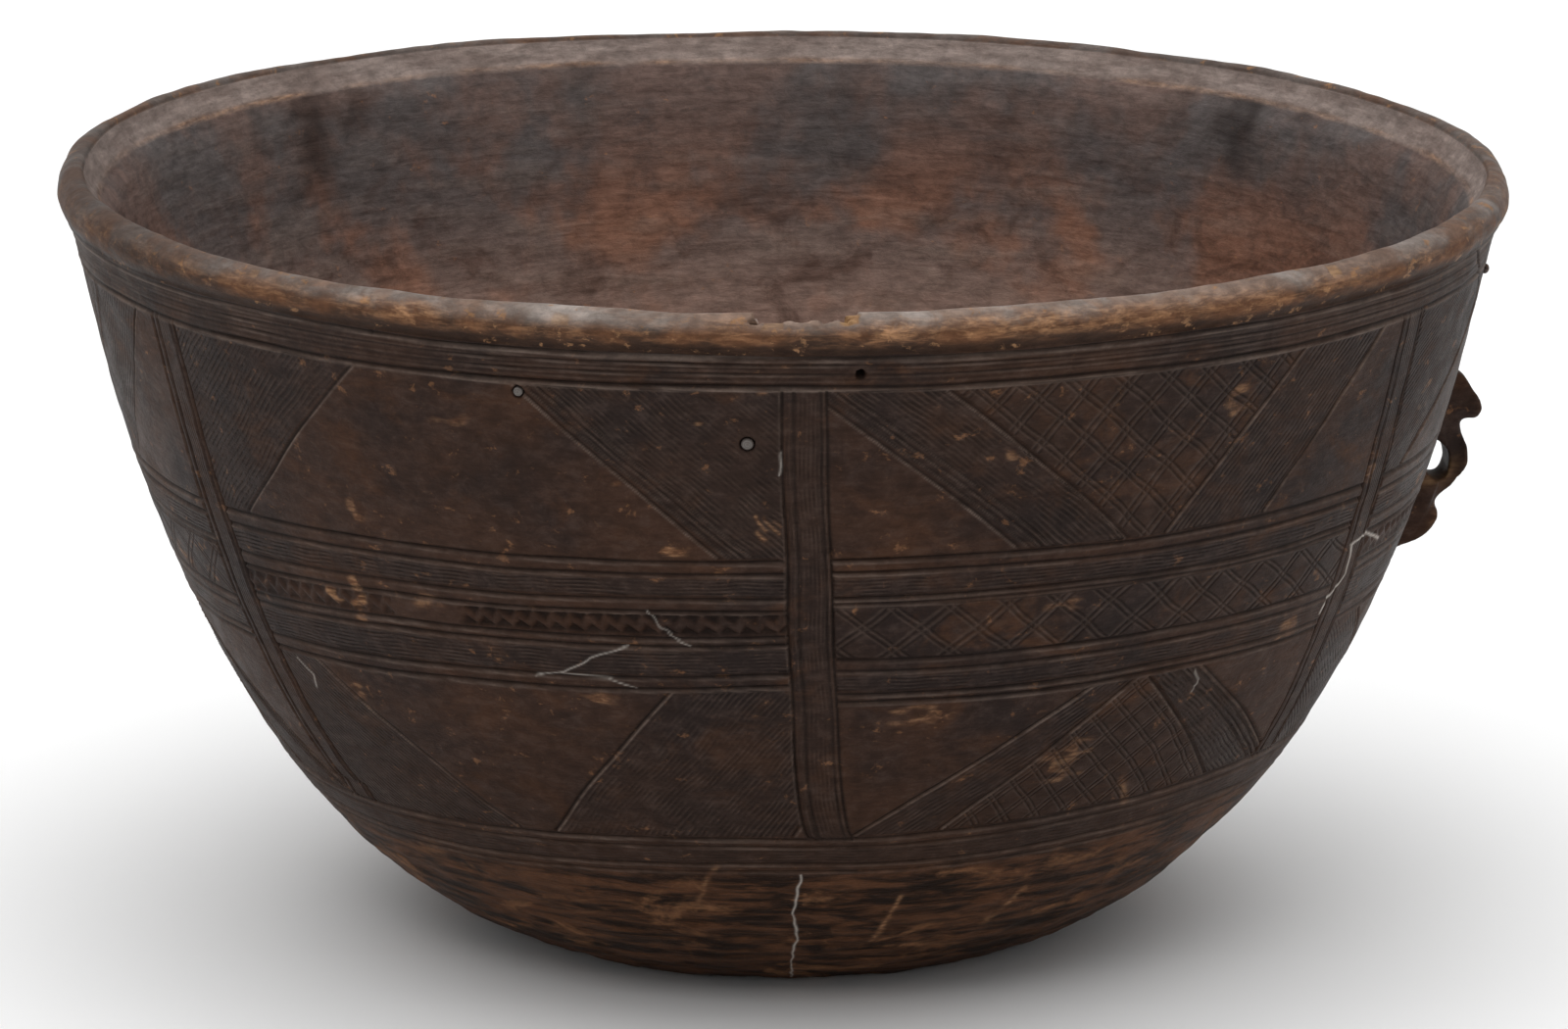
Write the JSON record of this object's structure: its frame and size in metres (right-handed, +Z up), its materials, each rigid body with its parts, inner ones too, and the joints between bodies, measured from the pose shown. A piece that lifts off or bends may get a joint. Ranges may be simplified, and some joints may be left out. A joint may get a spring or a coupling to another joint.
{
  "type": "bowl",
  "caption": "Deep round carved wooden bowl with a rolled rim, a small flat resting patch and one pierced lug; wooden pegs and small iron nails sit in its wall.",
  "frame": {"origin": "centre of the flat resting patch, on the surface that the bowl stands on", "axes": "+Z up along the bowl's round axis, out of its mouth; +X from the axis out through the pierced lug; +Y completes a right-handed frame"},
  "size_m": [0.48, 0.48, 0.2545],
  "materials": {
    "carved_wood": "dark worn patina",
    "peg_wood": "dry grey end grain",
    "nail_iron": "dark rust"
  },
  "bodies": {
    "root": {"bowl": "carved_wood", "front_wall_peg": "peg_wood", "side_wall_peg": "peg_wood", "rim_nail": "nail_iron", "wall_nail": "nail_iron"}
  },
  "joints": []
}
